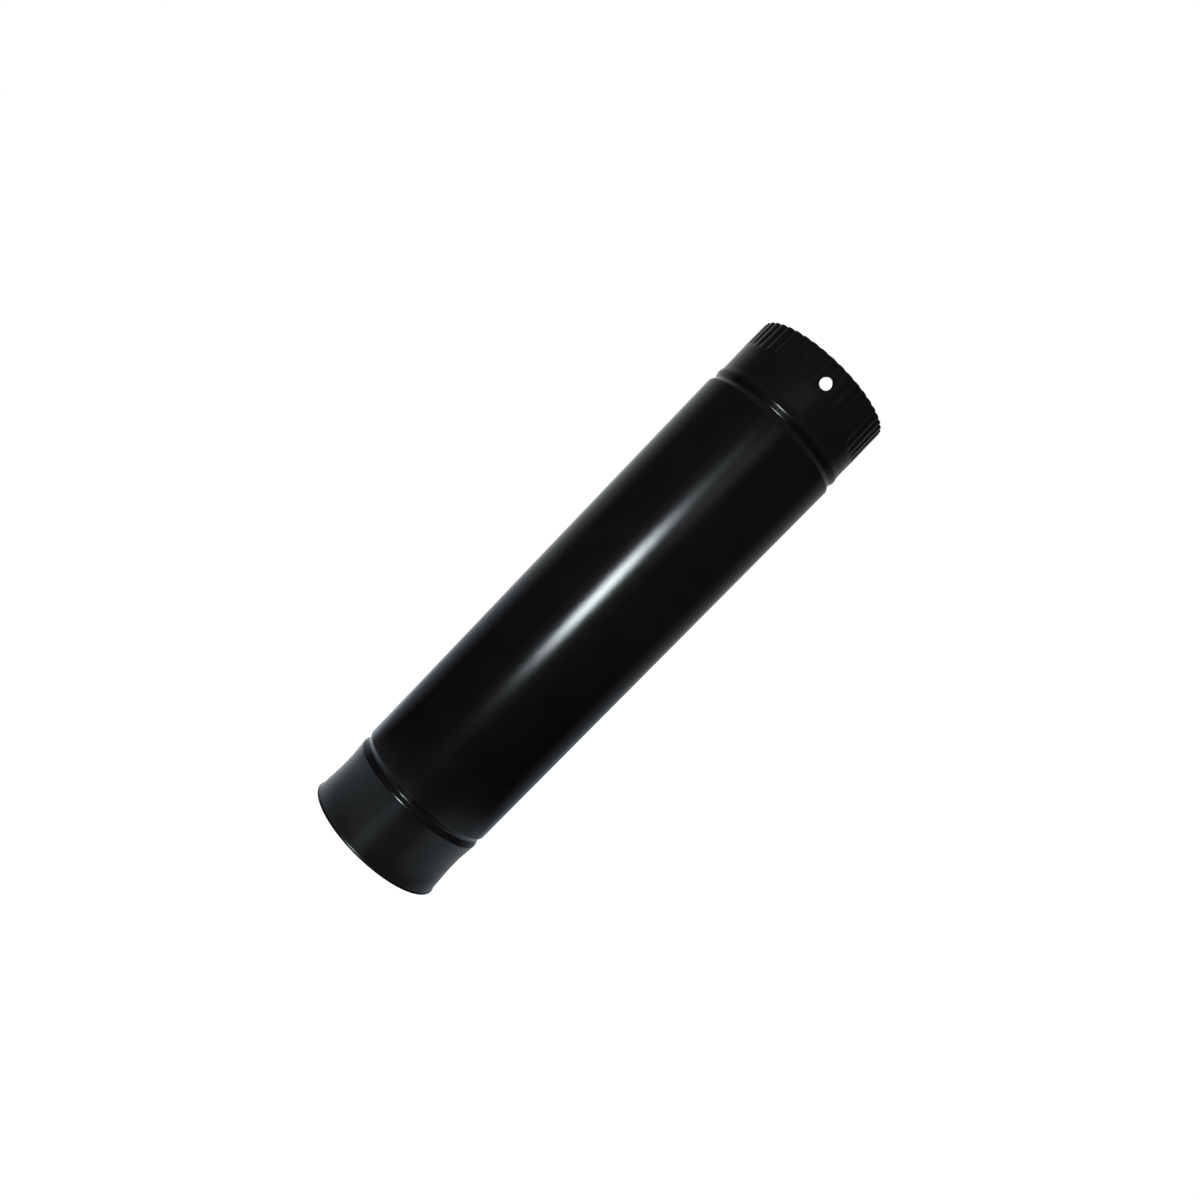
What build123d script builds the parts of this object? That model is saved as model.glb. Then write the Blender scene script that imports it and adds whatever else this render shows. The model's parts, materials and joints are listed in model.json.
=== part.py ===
"""Single-wall stove pipe: one steel sheet rolled into a tube, seamed down its back and swaged at both ends.

The pipe stands on its plain, flared end (the socket) with its crimped end (the spigot) up. Millimetres,
+Z up the axis, origin at the middle of the lower rim. The punched hole faces -Y and the seam +Y.
"""
import os
from math import atan2, cos, pi, sin, tan

from build123d import *

# The tube
length = 615.0
body_radius = 152.4 / 2
sheet = 0.6

# What the two ends have in common: the groove that ends the body, the shoulder between groove and body,
# and the bends of the sheet, which is rolled round over the beads and folded tight everywhere else
groove_depth = 3.0
shoulder_length = 5.5
rolled_bend = 3.0
tight_fold = 0.0

# Spigot, the upper end, which goes inside the next pipe
spigot_step = 2.5
spigot_depth = 60.0
spigot_bead_height = 1.5
spigot_bead_flank = 6.0
spigot_groove_pitch = 6.0

# Crimps rolled into the spigot's mouth: a short run-in, then folds that deepen up to the rim
crimp_count = 44
crimp_length = 29.0
crimp_run_in = 7.0
crimp_run_in_depth = 1.3
crimp_depth = 2.2
crimp_taper = 0.5
crimp_crest_share = 0.4
crimp_valley_share = 0.25

# Socket, the lower end, which takes the spigot of the pipe below
fit_clearance = 0.1
socket_depth = 64.5
socket_bead_height = 1.7
socket_bead_flank = 18.0
socket_groove_pitch = 7.5
mouth_length = 30.0
mouth_opening = 1.9
lip_length = 1.9
lip_flare = 1.1
lip_trim = 1.2

# Hole punched through the front of the crimped band
hole_diameter = 11.5
hole_below_rim = 19.5

# Lock seam of the body: two folded layers stand outside the wall and one inside it
seam_width = 8.0
seam_outer_layers = 2
seam_inner_layers = 1

# Heights and radii that follow from the sizes above
spigot_radius = body_radius - spigot_step
socket_radius = spigot_radius + fit_clearance + sheet
groove_radius = body_radius - groove_depth
mouth_radius = socket_radius + mouth_opening
lip_radius = mouth_radius + lip_flare
crimp_start = length - crimp_length
spigot_bead = length - spigot_depth
spigot_groove = spigot_bead - spigot_groove_pitch
body_top = spigot_groove - shoulder_length
socket_groove = socket_depth + socket_groove_pitch
body_bottom = socket_groove + shoulder_length
half_pitch = pi / crimp_count

# Bends met from an end inwards: the bead's foot, its crest, the groove and the shoulder
end_bends = [tight_fold, rolled_bend, tight_fold, tight_fold]


def at(radius, angle, height):
    """The point at a radius, an angle about the pipe's axis (from +X) and a height."""
    return Vector(radius * cos(angle), radius * sin(angle), height)


def fold_points(crest_radius, depth, inset, height):
    """The folds of one crimp, from the middle of a valley to the middle of the next.

    The sheet's inner face lies inset behind its outer one, square to lands and flanks alike, so its folds
    are drawn in towards the crest by the mitre of the bend.
    """
    pitch_radius = crest_radius - depth / 2
    flank = (1 - crimp_crest_share - crimp_valley_share) * half_pitch * pitch_radius
    mitre = inset * tan(atan2(depth, flank) / 2) / pitch_radius
    crest = crimp_crest_share * half_pitch - mitre
    valley = (1 - crimp_valley_share) * half_pitch - mitre
    low, high = crest_radius - depth - inset, crest_radius - inset
    angles = [-half_pitch, -valley, -crest, crest, valley, half_pitch]
    return [at(radius, angle, height) for radius, angle in zip([low, low, high, high, low, low], angles)]


def chords(points):
    """Straight edges from each point to the next."""
    return [Edge.make_line(start, end) for start, end in zip(points, points[1:])]


def arcs(points):
    """Edges round the pipe's axis from each point to the next, all at one radius and height."""
    radius, height = Vector(points[0].X, points[0].Y).length, points[0].Z
    axis_point = Vector(0, 0, height)
    tops = [
        axis_point + ((start + end) / 2 - axis_point).normalized() * radius
        for start, end in zip(points, points[1:])
    ]
    return [Edge.make_three_point_arc(*three) for three in zip(points, tops, points[1:])]


def crimp_solid():
    """One crimp of the sheet: ruled folds from the round wall to the run-in, and from there to the rim."""
    rows = []
    for inset in (0, sheet):
        ring = arcs(fold_points(spigot_radius, 0, inset, crimp_start))
        run_in = chords(fold_points(spigot_radius, crimp_run_in_depth, inset, crimp_start + crimp_run_in))
        rim = chords(fold_points(spigot_radius - crimp_taper, crimp_depth, inset, length))
        rows.append([ring, run_in, rim])
    faces = []
    for lower, upper in [pair for row in rows for pair in zip(row, row[1:])]:
        faces += [Face.make_surface_from_curves(*edges) for edges in zip(lower, upper)]
    for outer, inner in ((rows[0][0], rows[1][0]), (rows[0][2], rows[1][2])):
        first = Edge.make_line(outer[0] @ 0, inner[0] @ 0)
        last = Edge.make_line(outer[-1] @ 1, inner[-1] @ 1)
        faces.append(Face(Wire(outer + inner + [first, last])))
    for edge, end in ((0, 0), (-1, 1)):
        side = [row[edge] @ end for row in rows[0]] + [row[edge] @ end for row in reversed(rows[1])]
        faces.append(Face(Wire.make_polygon(side)))
    return Solid(Shell(faces))


crimp = crimp_solid()

with BuildPart() as stove_pipe:
    # The wall from the crimps down to the lip, drawn along its outer face and turned about the axis.
    with BuildSketch(Plane.XZ):
        with BuildLine():
            FilletPolyline(
                (spigot_radius, crimp_start),
                (spigot_radius, spigot_bead + spigot_bead_flank),
                (spigot_radius + spigot_bead_height, spigot_bead),
                (groove_radius, spigot_groove),
                (body_radius, body_top),
                (body_radius, body_bottom),
                (groove_radius, socket_groove),
                (socket_radius + socket_bead_height, socket_depth),
                (socket_radius, socket_depth - socket_bead_flank),
                (socket_radius, mouth_length),
                (mouth_radius, lip_length),
                (lip_radius + lip_trim * lip_flare / lip_length, -lip_trim),
                radius=end_bends + end_bends[::-1] + [tight_fold, tight_fold],
            )
            offset(amount=sheet, side=Side.RIGHT, kind=Kind.INTERSECTION)
        make_face()
    revolve(axis=Axis.Z)

    # The lip is trimmed square, so that the pipe stands on a flat rim.
    split(bisect_by=Plane.XY, keep=Keep.TOP)

    # The crimps, one after another round the spigot's mouth, with a crest at the middle of the front.
    with PolarLocations(0, crimp_count, start_angle=-90):
        add(crimp)

    # The hole, punched through the front wall alone.
    with BuildSketch(Plane.XZ):
        with Locations((0, length - hole_below_rim)):
            Circle(hole_diameter / 2)
    extrude(amount=spigot_radius + sheet, mode=Mode.SUBTRACT)

    # The lock seam, a flat band of folded layers down the back of the body, inside and outside the wall.
    seam_low = body_radius - sheet * (1 + seam_inner_layers)
    seam_high = body_radius + sheet * seam_outer_layers
    with BuildSketch(Plane.XY.offset(body_bottom)) as seam:
        Circle(seam_high)
        Circle(seam_low, mode=Mode.SUBTRACT)
        Rectangle(seam_width, seam_high, align=(Align.CENTER, Align.MIN), mode=Mode.INTERSECT)
        fillet(seam.vertices().group_by(Axis.Y)[-1], radius=sheet)
    extrude(amount=body_top - body_bottom)
stove_pipe.part.label = "stove_pipe"

os.makedirs("parts", exist_ok=True)
export_step(stove_pipe.part, "parts/stove_pipe.step")
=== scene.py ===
import json
from math import ceil, cos, pi, radians, sin, tau

import bmesh
import bpy
import numpy as np
from mathutils import Matrix, Vector


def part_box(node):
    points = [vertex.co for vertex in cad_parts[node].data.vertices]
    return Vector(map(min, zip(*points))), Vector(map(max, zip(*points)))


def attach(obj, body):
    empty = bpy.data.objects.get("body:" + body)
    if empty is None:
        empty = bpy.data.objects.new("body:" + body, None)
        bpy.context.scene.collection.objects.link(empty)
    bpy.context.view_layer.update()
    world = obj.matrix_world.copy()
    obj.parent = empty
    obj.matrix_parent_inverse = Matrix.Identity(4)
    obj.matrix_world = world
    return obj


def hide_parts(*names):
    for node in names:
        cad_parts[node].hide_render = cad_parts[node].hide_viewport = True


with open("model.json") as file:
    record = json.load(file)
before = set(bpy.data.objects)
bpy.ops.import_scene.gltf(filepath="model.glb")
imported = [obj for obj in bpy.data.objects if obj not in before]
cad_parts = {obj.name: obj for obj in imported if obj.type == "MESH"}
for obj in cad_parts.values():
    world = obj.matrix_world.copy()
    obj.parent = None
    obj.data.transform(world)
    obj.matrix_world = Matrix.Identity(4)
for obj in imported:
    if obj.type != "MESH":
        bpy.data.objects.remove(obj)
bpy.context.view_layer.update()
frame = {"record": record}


# The wall is one sheet of thin steel, rolled into a tube. Rolls have swaged and beaded both its ends and left
# a groove between each bead and the body. The plain end opens into a flared lip, and the other is narrowed to
# a spigot, which goes into the next pipe.
mounts = {mount["name"]: mount for mount in frame["record"]["mounts"]}
high_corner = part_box("stove_pipe")[1]
length = high_corner.z
lip_radius = high_corner.x
sheet = 0.0006
body_radius = 0.0762
spigot_radius = mounts["spigot"]["dims"]["r_mm"] / 1000
socket_radius = mounts["socket"]["dims"]["r_mm"] / 1000 + sheet
mouth_radius = 0.0763
lip_length, mouth_length = 0.0019, 0.030
bead_foot, socket_bead, socket_groove, body_bottom = 0.0465, 0.0658, 0.0715, 0.0773
body_top, spigot_groove, spigot_bead, bead_top = 0.5437, 0.5492, 0.5550, 0.5610
socket_crest, socket_groove_radius = 0.0762, 0.0730
spigot_crest, spigot_groove_radius = 0.0752, 0.0728
crimp_length, crimp_overrun = 0.029, 0.012
crimp_start = length - crimp_length
bend_steps = 6
longest_row = 0.040


def rolled_line(corners):
    """Points up the wall's outer face: a corner (radius, height, reach) is rolled over its reach each way."""
    line = [Vector(corners[0][:2])]
    for before, corner, after in zip(corners, corners[1:], corners[2:]):
        fold = Vector(corner[:2])
        start = fold + (Vector(before[:2]) - fold).normalized() * corner[2]
        end = fold + (Vector(after[:2]) - fold).normalized() * corner[2]
        rows = ceil((start - line[-1]).length / longest_row)
        line += [line[-1].lerp(start, row / rows) for row in range(1, rows)]
        for step in range(bend_steps + 1):
            share = step / bend_steps
            line.append(start.lerp(fold, share).lerp(fold.lerp(end, share), share))
    return line + [Vector(corners[-1][:2])]


wall_line = rolled_line([
    (lip_radius, 0, 0),
    (mouth_radius, lip_length, 0.0009),
    (socket_radius, mouth_length, 0.008),
    (socket_radius, bead_foot, 0.006),
    (socket_crest, socket_bead, 0.0016),
    (socket_groove_radius, socket_groove, 0.0014),
    (body_radius, body_bottom, 0.0010),
    (body_radius, body_top, 0.0010),
    (spigot_groove_radius, spigot_groove, 0.0013),
    (spigot_crest, spigot_bead, 0.0013),
    (spigot_radius, bead_top, 0.0012),
    (spigot_radius, crimp_start - crimp_overrun, 0),
])


# The crimps are pleats that a crimping tool has pressed into the spigot's mouth, so that it draws in and
# slides into the next pipe. They start shallow behind a short run-in and deepen towards the rim, and on the
# right they reach further down than on the left.
crimp_count = 44
crimp_depth, crimp_run_in_depth = 0.0014, 0.0010
crimp_run_in = 0.007
crimp_taper = 0.0005
crest_share, valley_share = 0.34, 0.16
overrun_rows, crimp_rows = 6, 14
columns_per_crimp = 10
for row in range(1, overrun_rows):
    wall_line.append(Vector((spigot_radius, crimp_start - crimp_overrun * (1 - row / overrun_rows))))
for row in range(crimp_rows + 1):
    wall_line.append(Vector((spigot_radius, crimp_start + crimp_length * row / crimp_rows)))


def ease(share):
    """A smooth step from 0 to 1."""
    share = np.clip(share, 0, 1)
    return share * share * (3 - 2 * share)


def crimped_radius(radius, height, angle):
    """The outer face's radius with the crimps pressed in; a crest lies at the middle of the front, at -Y."""
    risen = height - crimp_start + crimp_overrun * ease(np.cos(angle))
    late = np.clip((risen - crimp_run_in) / (crimp_length - crimp_run_in), 0, 1)
    depth = crimp_run_in_depth * ease(risen / crimp_run_in) + (crimp_depth - crimp_run_in_depth) * late
    turn = (angle + pi / 2) / tau * crimp_count
    off_crest = 2 * np.abs(turn - np.round(turn))
    pressed = ease((off_crest - crest_share) / (1 - crest_share - valley_share))
    return radius - crimp_taper * late - depth * pressed


# The lock seam closes the tube down its back: the sheet's two edges are hooked into each other and rolled
# flat. A band of folded layers stands out of the wall, with a fine line beside it where the upper fold ends.
seam_angle = pi / 2
seam_half_width = 0.0040
seam_rise, seam_inner_rise = 2 * sheet, sheet
seam_squareness = 5
seam_columns = 18
seam_end_run = 0.004
seam_line_width, seam_line_depth = 0.0004, 0.0003
seam_turns = np.linspace(0, pi, seam_columns)
seam_across = -np.cos(seam_turns)
seam_offsets = seam_half_width * np.sign(seam_across) * np.abs(seam_across) ** (2 / seam_squareness)
seam_heights = np.sin(seam_turns).clip(0) ** (2 / seam_squareness)
line_offsets = seam_half_width + seam_line_width * np.array([0.25, 0.75, 1.0])
line_heights = np.array([-1, -1, 0]) * seam_line_depth / seam_rise
seam_offsets = np.concatenate([seam_offsets, line_offsets])
seam_heights = np.concatenate([seam_heights, line_heights])
plain_columns = crimp_count * columns_per_crimp
plain_angles = np.arange(plain_columns) / plain_columns * tau - pi / 2
seam_reach = (seam_half_width + 2 * seam_line_width) / body_radius
plain_angles = plain_angles[np.abs(plain_angles - seam_angle) > seam_reach]
angles = np.concatenate([plain_angles, seam_angle + seam_offsets / body_radius])
heights = np.concatenate([np.zeros(len(plain_angles)), seam_heights])
order = np.argsort(angles, kind="stable")
angles, heights = angles[order], heights[order]


# The sheet is the same thickness all over, so its inner face lies square behind the outer one. Both rims are
# cut square, with their edges a little rounded by the paint, and what lies within them counts as the inside.
rim_round = 0.00012
row_radius = np.array([point.x for point in wall_line])[:, None]
row_height = np.array([point.y for point in wall_line])[:, None]
outer_radius = crimped_radius(row_radius, row_height, angles[None, :])
radial = np.stack([np.cos(angles), np.sin(angles), np.zeros(len(angles))], axis=-1)
upright = np.array([0.0, 0.0, 1.0])
outer_face = outer_radius[..., None] * radial + row_height[..., None] * upright
around_pipe = np.roll(outer_face, -1, axis=1) - np.roll(outer_face, 1, axis=1)
normals = np.cross(around_pipe, np.gradient(outer_face, axis=0))
normals[[0, -1], :, 2] = 0
normals /= np.linalg.norm(normals, axis=-1, keepdims=True)
inner_face = outer_face - sheet * normals
in_body = ease((row_height - body_bottom) / seam_end_run) * ease((body_top - row_height) / seam_end_run)
outer_face = outer_face + (in_body * seam_rise * heights)[..., None] * radial
inner_face = inner_face - (in_body * seam_inner_rise * heights.clip(0))[..., None] * radial


def rim(row, into_pipe):
    """Four rings over a cut rim, from the outer face to the inner one."""
    inset = rim_round / sheet
    over = ((0, 1), (inset, 0), (1 - inset, 0), (1, 1))
    through = inner_face[row] - outer_face[row]
    return [
        outer_face[row] + through * share + upright * (into_pipe * rim_round * lift)
        for share, lift in over
    ]


outer_rings = list(outer_face[1:-1])
inner_rings = list(inner_face[-2:0:-1])
upper_rim, lower_rim = rim(-1, -1), rim(0, 1)[::-1]
rings = outer_rings + upper_rim + inner_rings + lower_rim
columns = len(angles)
faces = []
for ring in range(len(rings)):
    here, above = ring * columns, (ring + 1) % len(rings) * columns
    for column in range(columns):
        beside = (column + 1) % columns
        faces.append((here + column, here + beside, above + beside, above + column))
wall_mesh = bpy.data.meshes.new("stove_pipe_wall")
wall_mesh.from_pydata(np.concatenate(rings).tolist(), [], faces)
inside_start = len(outer_rings) + len(upper_rim) // 2
inside_end = len(outer_rings) + len(upper_rim) + len(inner_rings)
ring_of_face = np.repeat(np.arange(len(rings)), columns)
is_inside = (ring_of_face >= inside_start) & (ring_of_face < inside_end)
wall_mesh.polygons.foreach_set("material_index", is_inside.astype(np.int32))
pipe = bpy.data.objects.new("pipe_wall", wall_mesh)
bpy.context.collection.objects.link(pipe)


# The hole is a plain round one, punched through the front wall of the crimped band. The pipe hangs by it, and
# nothing is fixed in it.
hole_radius = 0.00575
hole_below_rim = 0.0195
punch_length = 0.024
punch_sides = 64
sharp_edge = radians(60)
punch_mesh = bpy.data.meshes.new("punch")
punch_shape = bmesh.new()
bmesh.ops.create_cone(
    punch_shape,
    cap_ends=True,
    segments=punch_sides,
    radius1=hole_radius,
    radius2=hole_radius,
    depth=punch_length,
)
punch_place = Matrix.Translation((0, -spigot_radius, length - hole_below_rim))
bmesh.ops.transform(
    punch_shape, matrix=punch_place @ Matrix.Rotation(pi / 2, 4, "X"), verts=punch_shape.verts
)
punch_shape.to_mesh(punch_mesh)
punch_shape.free()
punch = bpy.data.objects.new("punch", punch_mesh)
bpy.context.collection.objects.link(punch)
cut = pipe.modifiers.new("punched hole", "BOOLEAN")
cut.operation = "DIFFERENCE"
cut.solver = "EXACT"
cut.object = punch
bpy.context.view_layer.update()
pipe.data = bpy.data.meshes.new_from_object(pipe.evaluated_get(bpy.context.evaluated_depsgraph_get()))
pipe.modifiers.clear()
bpy.data.objects.remove(punch)
pipe.data.shade_smooth()
pipe.data.set_sharp_from_angle(angle=sharp_edge)


# The finish outside is a satin, heat-proof black paint, sprayed on in one coat: near black, with a fine
# orange peel. On the swaged ends the coat is a little duller, and warmer on the spigot. It is rubbed thin
# along the two cut rims. On the socket's collar the black is painted a little greyer: a painted sheen for
# the light that its gloss catches off the floor.
class Tone:
    """A socket of a node tree, with the operators that the finishes use: each one adds a Math node."""

    def __init__(self, tree, socket=None):
        self.tree = tree
        self.socket = socket

    def node(self, kind, settings=None, inputs=None, output=0):
        """Any other node: its settings are set first, then its sockets get values or links."""
        made = self.tree.nodes.new(kind)
        for name, value in (settings or {}).items():
            setattr(made, name, value)
        for name, value in (inputs or {}).items():
            if isinstance(value, Tone):
                self.tree.links.new(value.socket, made.inputs[name])
            else:
                made.inputs[name].default_value = value
        return Tone(self.tree, made.outputs[output] if made.outputs else None)

    def math(self, operation, *terms):
        """A Math node on values and links."""
        return self.node("ShaderNodeMath", {"operation": operation}, dict(enumerate(terms)))

    def along(self, axis):
        """This vector's part along X, Y or Z."""
        return self.node("ShaderNodeSeparateXYZ", inputs={"Vector": self}, output=axis)

    def step(self, low, high):
        """A smooth step of this value, from 0 at low to 1 at high."""
        return self.node(
            "ShaderNodeMapRange",
            {"interpolation_type": "SMOOTHSTEP"},
            {"Value": self, "From Min": low, "From Max": high},
        )

    def mix(self, start, end):
        """The colour between start and end at this value."""
        return self.node("ShaderNodeMix", {"data_type": "RGBA"}, {0: self, 6: start, 7: end}, 2)

    def __add__(self, other):
        return self.math("ADD", self, other)

    def __sub__(self, other):
        return self.math("SUBTRACT", self, other)

    def __rsub__(self, other):
        return self.math("SUBTRACT", other, self)

    def __mul__(self, other):
        return self.math("MULTIPLY", self, other)

    __radd__ = __add__
    __rmul__ = __mul__


def empty_tree(owner):
    """The node tree of a material or a world, cleared to be built on."""
    owner.use_nodes = True
    owner.node_tree.nodes.clear()
    return Tone(owner.node_tree)


def speckle(place, scale, detail, roughness):
    """Noise over the surface, in spots about 1 / scale metres across."""
    spots = {"Vector": place, "Scale": scale, "Detail": detail, "Roughness": roughness}
    return place.node("ShaderNodeTexNoise", inputs=spots)


paint_black = (0.0038, 0.0037, 0.0037, 1)
paint_grey = (0.0056, 0.0055, 0.0055, 1)
spigot_black = (0.0066, 0.0047, 0.0051, 1)
rubbed_grey = (0.030, 0.030, 0.031, 1)
cloud_scale, peel_scale, grain_scale = 34.0, 1300.0, 2600.0
cloud_low, cloud_high, cloud_grey, collar_sheen_grey = 0.3, 0.75, 0.6, 0.4
rub_low, rub_high, rub_share = 0.42, 0.62, 0.55
peel_share, grain_share, peel_depth = 0.235, 0.24, 0.00009
collar_edge, collar_end = socket_bead - 0.012, socket_bead - 0.004
spigot_edge, spigot_full = spigot_bead - 0.003, spigot_bead + 0.004
worn_width, worn_full = 0.0011, 0.0002
satin = 0.145
cloud_dull, grain_dull, collar_dull, spigot_dull, rubbed_dull = 0.03, 0.02, 0.10, 0.05, 0.12
paint = bpy.data.materials.new("black_paint")
tree = empty_tree(paint)
place = tree.node("ShaderNodeTexCoord", output="Object")
height = place.along("Z")
cloud = speckle(place, cloud_scale, detail=4.0, roughness=0.55)
peel = speckle(place, peel_scale, detail=1.0, roughness=0.5)
grain = speckle(place, grain_scale, detail=1.0, roughness=0.5)
collar = 1 - height.step(collar_edge, collar_end)
spigot = height.step(spigot_edge, spigot_full)
worn_foot = 1 - height.step(worn_full, worn_width)
worn_mouth = height.step(length - worn_width, length - worn_full)
rubbed = (worn_foot + worn_mouth) * cloud.step(rub_low, rub_high) * rub_share
# The cloud's grey is the coat's own patchy tone. The collar's share of the grey is a painted sheen: light off
# the floor, painted into the colour.
grey_and_sheen = cloud.step(cloud_low, cloud_high) * cloud_grey + collar * collar_sheen_grey
shade = spigot.mix(grey_and_sheen.mix(paint_black, paint_grey), spigot_black)
patchy = cloud_dull * cloud + grain_dull * grain + rubbed_dull * rubbed
orange_peel = peel_share * peel + grain_share * grain
coat = tree.node(
    "ShaderNodeBsdfPrincipled",
    inputs={
        "Base Color": rubbed.mix(shade, rubbed_grey),
        "Roughness": satin + patchy + collar_dull * collar + spigot_dull * spigot,
        "Normal": tree.node("ShaderNodeBump", inputs={"Distance": peel_depth, "Height": orange_peel}),
    },
)
tree.node("ShaderNodeOutputMaterial", inputs={"Surface": coat})
pipe.data.materials.clear()
pipe.data.materials.append(paint)


# Inside, the sheet has only the overspray that drifted in from the two ends: a thin, dull black over the
# steel, patchy and drawn out along the tube, and dusty.
bare_black, bare_grey = (0.010, 0.010, 0.0105, 1), (0.022, 0.022, 0.023, 1)
patch_scale, patch_stretch, dust_scale = 45.0, 4.0, 1800.0
patch_low, patch_high = 0.35, 0.7
dust_strength, dust_depth = 0.5, 0.00005
overspray, patch_dull = 0.46, 0.16
inside = bpy.data.materials.new("inside_overspray")
tree = empty_tree(inside)
place = tree.node("ShaderNodeTexCoord", output="Object")
drawn = tree.node("ShaderNodeMapping", inputs={"Vector": place, "Scale": (1, 1, 1 / patch_stretch)})
patches = speckle(drawn, patch_scale, detail=5.0, roughness=0.6)
dust = speckle(place, dust_scale, detail=1.0, roughness=0.5)
dusty = {"Strength": dust_strength, "Distance": dust_depth, "Height": dust}
coat = tree.node(
    "ShaderNodeBsdfPrincipled",
    inputs={
        "Base Color": patches.step(patch_low, patch_high).mix(bare_black, bare_grey),
        "Roughness": overspray + patch_dull * patches,
        "Normal": tree.node("ShaderNodeBump", inputs=dusty),
    },
)
tree.node("ShaderNodeOutputMaterial", inputs={"Surface": coat})
pipe.data.materials.append(inside)
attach(pipe, "root")
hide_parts("stove_pipe")


# The floor is a plain pale board, white to the camera, with the pipe's soft shadow on it. In the paint's
# gloss it shows as a painted pool of light behind the foot, and as a fainter painted glow round the front and
# the sides, with a painted shadow of the pipe in it as a dark wedge, and a painted bright stripe.
floor_half = 4.0
board_colour, board_glow = (0.80, 0.80, 0.80, 1), 0.83
white, black, cool_white = (1, 1, 1, 1), (0, 0, 0, 1), (0.80, 0.92, 1, 1)
backdrop_degrees, backdrop_reach = 176.2, radians(80)
right_share, side_blend = 0.5, 0.3
pool_edge, pool_end = 0.04, 0.225
near_middle, near_glow = (0.05, 0, 0), 0.36
near_start, near_full, near_edge, near_end = 0.10, 0.17, 0.20, 0.46
shadow_wedge_degrees, shadow_wedge_share, shadow_wedge_edge, shadow_wedge_full = 13.2, 0.70, 0.86, 0.985
stripe_degrees, stripe_glow, stripe_edge, stripe_full = -11.7, 0.25, 0.985, 0.999
flank_glow, close_edge, close_end = 0.15, 0.20, 0.32
floor_mesh = bpy.data.meshes.new("floor")
floor_mesh.from_pydata(
    [(floor_half * x, floor_half * y, 0) for x, y in ((-1, -1), (1, -1), (1, 1), (-1, 1))], [], [(0, 1, 2, 3)]
)
floor = bpy.data.objects.new("floor", floor_mesh)
bpy.context.collection.objects.link(floor)


def round_pipe(degrees, distance, height):
    """A place round the pipe: degrees from the front towards the right, distance from the axis and height."""
    return Vector((distance * sin(radians(degrees)), -distance * cos(radians(degrees)), height))


def seen_plainly(tree):
    """1 for a ray that comes straight from the camera or through something clear."""
    straight = tree.node("ShaderNodeLightPath", output="Is Camera Ray")
    return straight + tree.node("ShaderNodeLightPath", output="Is Transmission Ray")


def facing(direction, degrees):
    """1 where the direction points to those degrees round the pipe, 0 square to them and -1 behind."""
    ways = {0: direction, 1: round_pipe(degrees, 1, 0)}
    return direction.node("ShaderNodeVectorMath", {"operation": "DOT_PRODUCT"}, ways, "Value")


def backdrop_glow(direction):
    """The backdrop's light that way, full straight behind the pipe, and the share of it on each side."""
    off_middle = direction.math("ARCCOSINE", facing(direction, backdrop_degrees))
    side = 1 - (1 - right_share) * direction.along("X").step(-side_blend, side_blend)
    return direction.math("MAXIMUM", 1 - off_middle * (1 / backdrop_reach), 0.0), side


board = bpy.data.materials.new("pale_board")
tree = empty_tree(board)
spot = tree.node("ShaderNodeTexCoord", output="Object")
outward = tree.node("ShaderNodeVectorMath", {"operation": "NORMALIZE"}, {0: spot})
reach = tree.node("ShaderNodeVectorMath", {"operation": "LENGTH"}, {0: spot}, "Value")
off_middle = tree.node("ShaderNodeVectorMath", {"operation": "DISTANCE"}, {0: spot, 1: near_middle}, "Value")
backdrop, side = backdrop_glow(outward)
pool = 1 - (reach - spot.along("Y")).step(pool_edge, pool_end)
# A painted shadow: the pipe's own shadow in the floor's glow, as a dark wedge towards the front right.
shadow_wedge = shadow_wedge_share * facing(outward, shadow_wedge_degrees).step(shadow_wedge_edge, shadow_wedge_full)
stripe = stripe_glow * facing(outward, stripe_degrees).step(stripe_edge, stripe_full)
across = outward.along("X")
sideways = across * across
flank = flank_glow * sideways * sideways
close = 1 - reach.step(close_edge, close_end)
near = near_glow * reach.step(near_start, near_full) * (1 - off_middle.step(near_edge, near_end))
near = near * (1 - shadow_wedge) + (stripe + flank) * close
gleam = tree.math("MAXIMUM", tree.math("MAXIMUM", pool, backdrop) * side, near)
mirrored = tree.node("ShaderNodeEmission", inputs={"Color": gleam.mix(black, cool_white)})
plain = tree.node("ShaderNodeBsdfDiffuse", inputs={"Color": board_colour})
glow = tree.node("ShaderNodeEmission", inputs={"Color": white, "Strength": seen_plainly(tree) * board_glow})
lit = tree.node("ShaderNodeAddShader", inputs={0: plain, 1: glow})
glossy = tree.node("ShaderNodeLightPath", output="Is Glossy Ray")
surface = tree.node("ShaderNodeMixShader", inputs={0: glossy, 1: lit, 2: mirrored})
tree.node("ShaderNodeOutputMaterial", inputs={"Surface": surface})
floor.data.materials.append(board)


# The room is a studio with a white backdrop behind the pipe, dark in front of it, with a faint glow from the
# ceiling. The camera sees plain white all round, and the dull surfaces get an even, weaker light.
ambient, room_glow, ceiling_glow = 0.36, 0.03, 0.075
ceiling_edge, ceiling_full = 0.45, 0.75
pale_white = (0.93, 0.98, 1, 1)
room = bpy.data.worlds.new("room")
bpy.context.scene.world = room
tree = empty_tree(room)
way = tree.node("ShaderNodeTexCoord", output="Generated")
backdrop, side = backdrop_glow(way)
ceiling = way.along("Z").step(ceiling_edge, ceiling_full)
gleam = tree.math("MAXIMUM", backdrop * side, room_glow + ceiling_glow * ceiling)
mirrored = tree.node("ShaderNodeBackground", inputs={"Color": gleam.mix(black, pale_white)})
seen = seen_plainly(tree)
plain = tree.node("ShaderNodeBackground", inputs={"Color": white, "Strength": seen + (1 - seen) * ambient})
glossy = tree.node("ShaderNodeLightPath", output="Is Glossy Ray")
surface = tree.node("ShaderNodeMixShader", inputs={0: glossy, 1: plain, 2: mirrored})
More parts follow.
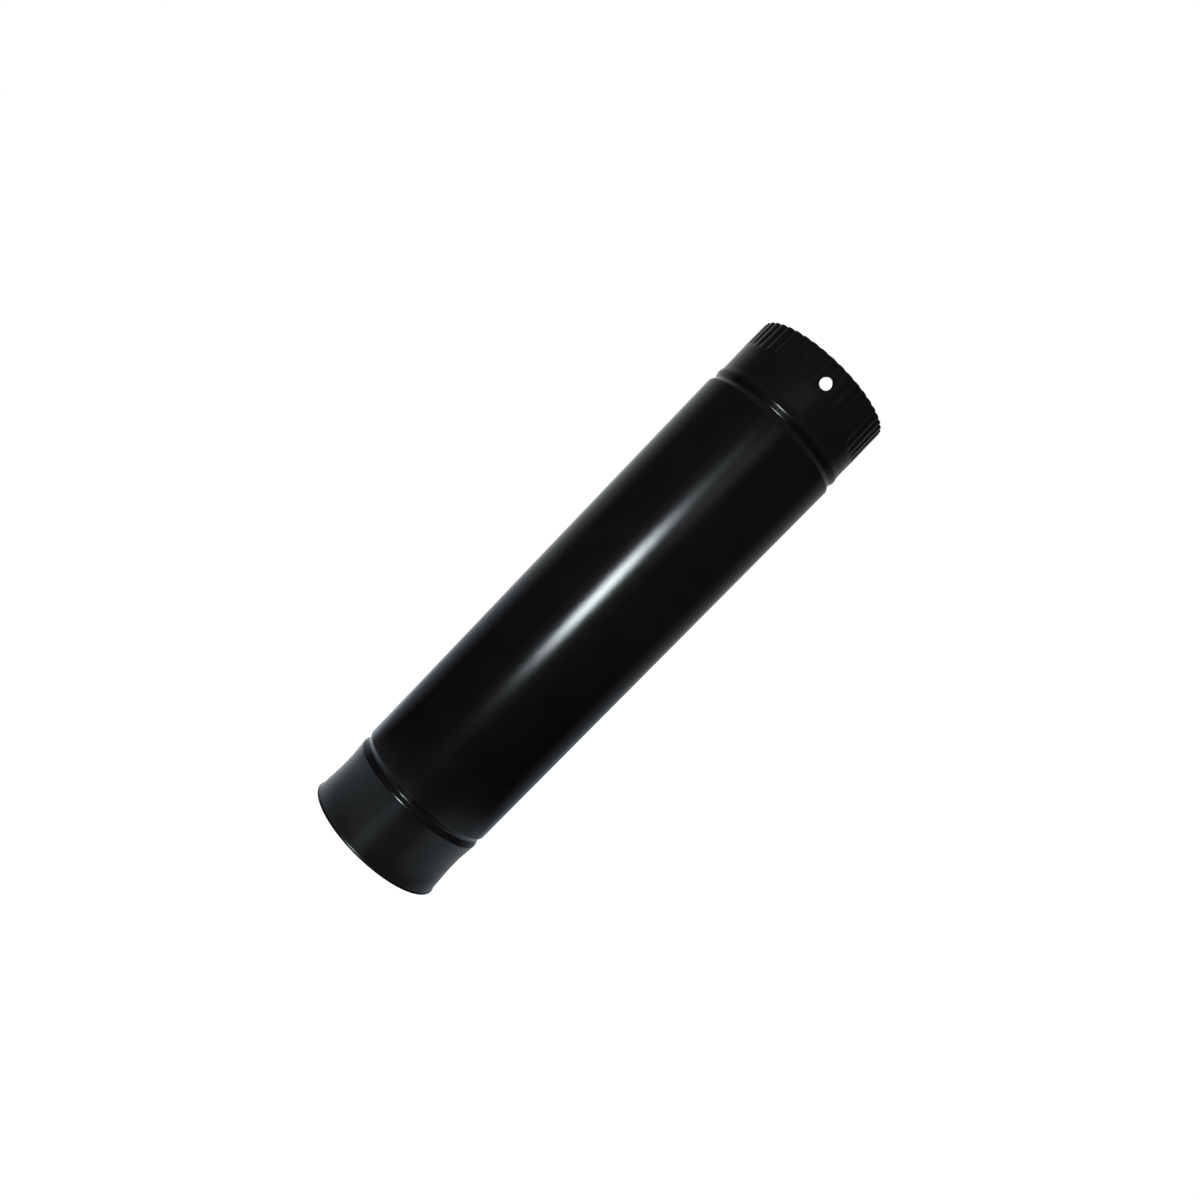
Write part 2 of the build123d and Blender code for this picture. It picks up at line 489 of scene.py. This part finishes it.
tree.node("ShaderNodeOutputWorld", inputs={"Surface": surface})


# Three soft boxes light the pipe from the front. The key stands to the left of the camera, is a little cool
# and draws the streak down the body. A dim one above it and a wide fill farther back carry the streak on up.
key_degrees, key_distance, key_height, key_top_height = -17.05, 1.0756, 0.33, 0.57
key_width, key_rise = 0.19, 0.24
key_power, key_top_power = 5.1, 0.11
key_colour = (0.86, 0.965, 1.0)
fill_place, fill_target = round_pipe(-0.44, 1.70855, 0.72), (0, 0, 0.45)
fill_side, fill_power = 0.44, 0.222


def soft_box(name, place, target, width, rise, power, colour):
    """A lamp behind a rectangle of white cloth, turned to the target."""
    lamp = bpy.data.lights.new(name, "AREA")
    lamp.shape = "RECTANGLE"
    lamp.size, lamp.size_y = width, rise
    lamp.energy = power
    lamp.color = colour
    box = bpy.data.objects.new(name, lamp)
    turn = (Vector(target) - place).to_track_quat("-Z", "Y")
    box.matrix_world = Matrix.Translation(place) @ turn.to_matrix().to_4x4()
    bpy.context.collection.objects.link(box)


for name, level, power in (("key", key_height, key_power), ("key_top", key_top_height, key_top_power)):
    stand = round_pipe(key_degrees, key_distance, level)
    soft_box(name, stand, (0, 0, level), key_width, key_rise, power, key_colour)
soft_box("upper_fill", fill_place, fill_target, fill_side, fill_side, fill_power, (1, 1, 1))


# The camera stands about a metre off, a little to the left of the pipe's front and level with its middle.
# It is rolled on its side, so that the pipe runs up to the right.
eye = round_pipe(-3.8, 0.9722, 0.3414)
aim = Vector((-0.0007, 0.00005, 0.22284))
roll = radians(44.252)
view = bpy.data.cameras.new("camera")
view.lens = 29.95
view.sensor_width = 36
view.shift_x, view.shift_y = 0.0587, 0.0658
view.clip_start, view.clip_end = 0.01, 100
camera = bpy.data.objects.new("camera", view)
look = (aim - eye).to_track_quat("-Z", "Y").to_matrix().to_4x4()
camera.matrix_world = Matrix.Translation(eye) @ look @ Matrix.Rotation(roll, 4, "Z")
bpy.context.collection.objects.link(camera)
bpy.context.scene.camera = camera
bpy.context.scene.view_settings.view_transform = "Standard"
